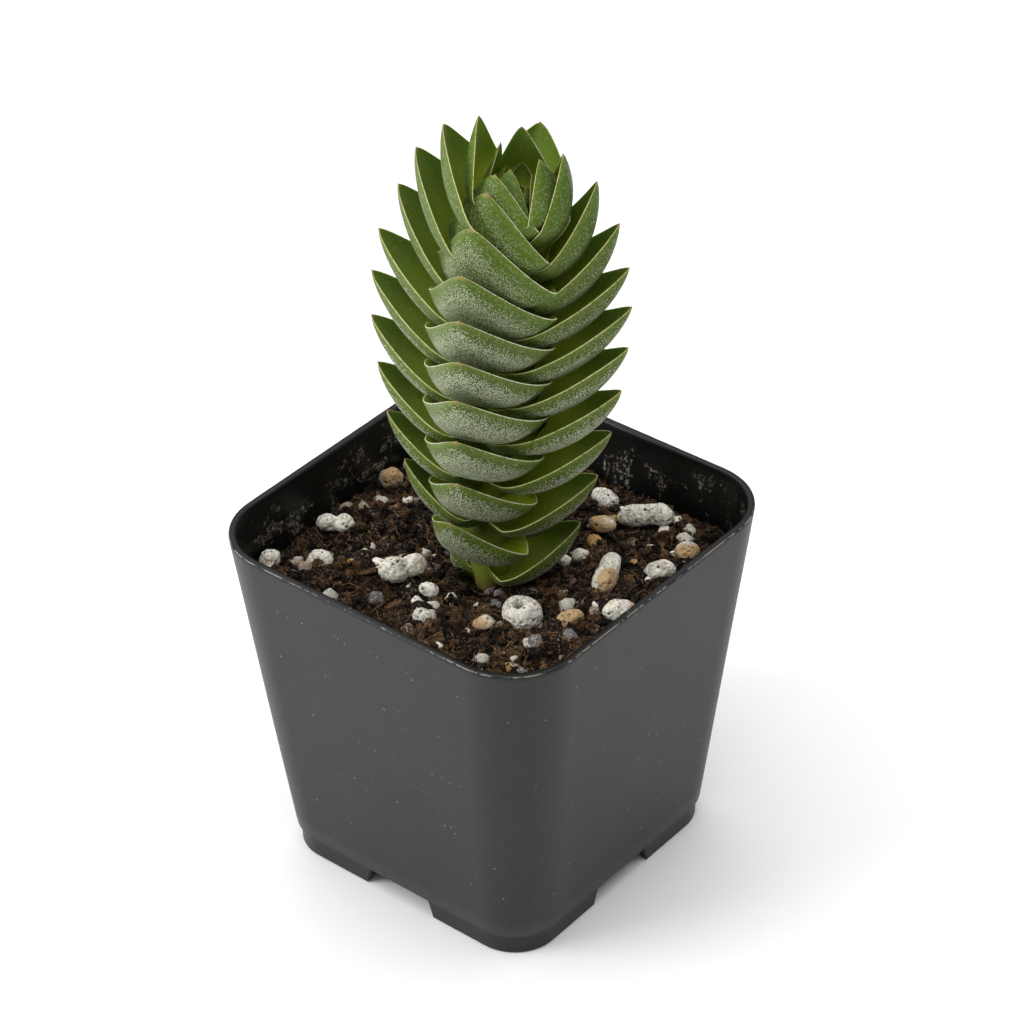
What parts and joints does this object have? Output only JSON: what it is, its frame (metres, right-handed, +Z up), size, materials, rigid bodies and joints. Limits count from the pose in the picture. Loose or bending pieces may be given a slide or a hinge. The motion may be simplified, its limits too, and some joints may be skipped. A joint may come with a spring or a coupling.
{
  "type": "potted buddhas temple crassula",
  "caption": "Square succulent column of tightly stacked upturned leaf pairs on one stem, standing in gritty soil with pumice in a tapered square nursery pot.",
  "frame": {"origin": "middle of the pot's foot, at the level of the surface that the pot stands on", "axes": "+Z up along the stem; the pot's four sides face +X, -X, +Y and -Y"},
  "size_m": [0.064, 0.064, 0.1291],
  "materials": {
    "pot": "satin",
    "soil": "matte",
    "leaf": "satin",
    "pumice": "matte",
    "pumice_ochre": "matte"
  },
  "bodies": {
    "root": {"pot": "pot", "soil": "soil", "leafy_stem": "leaf", "pumice_front_round": "pumice", "pumice_front_lumpy": "pumice", "pumice_right_long": "pumice", "pumice_right_back_pair": "pumice", "pumice_left_cream": "pumice", "pumice_left_back": "pumice", "pumice_left_wall": "pumice", "pumice_right_pair": "pumice", "pumice_front_small": "pumice", "pumice_front_middle": "pumice", "pumice_ochre_front": "pumice_ochre", "pumice_right_corner": "pumice", "pumice_right_far": "pumice", "pumice_left_middle": "pumice", "pumice_left_long": "pumice", "pumice_back_white": "pumice", "pumice_back_ochre": "pumice_ochre", "pumice_back_left": "pumice", "pumice_back_far": "pumice"}
  },
  "joints": []
}
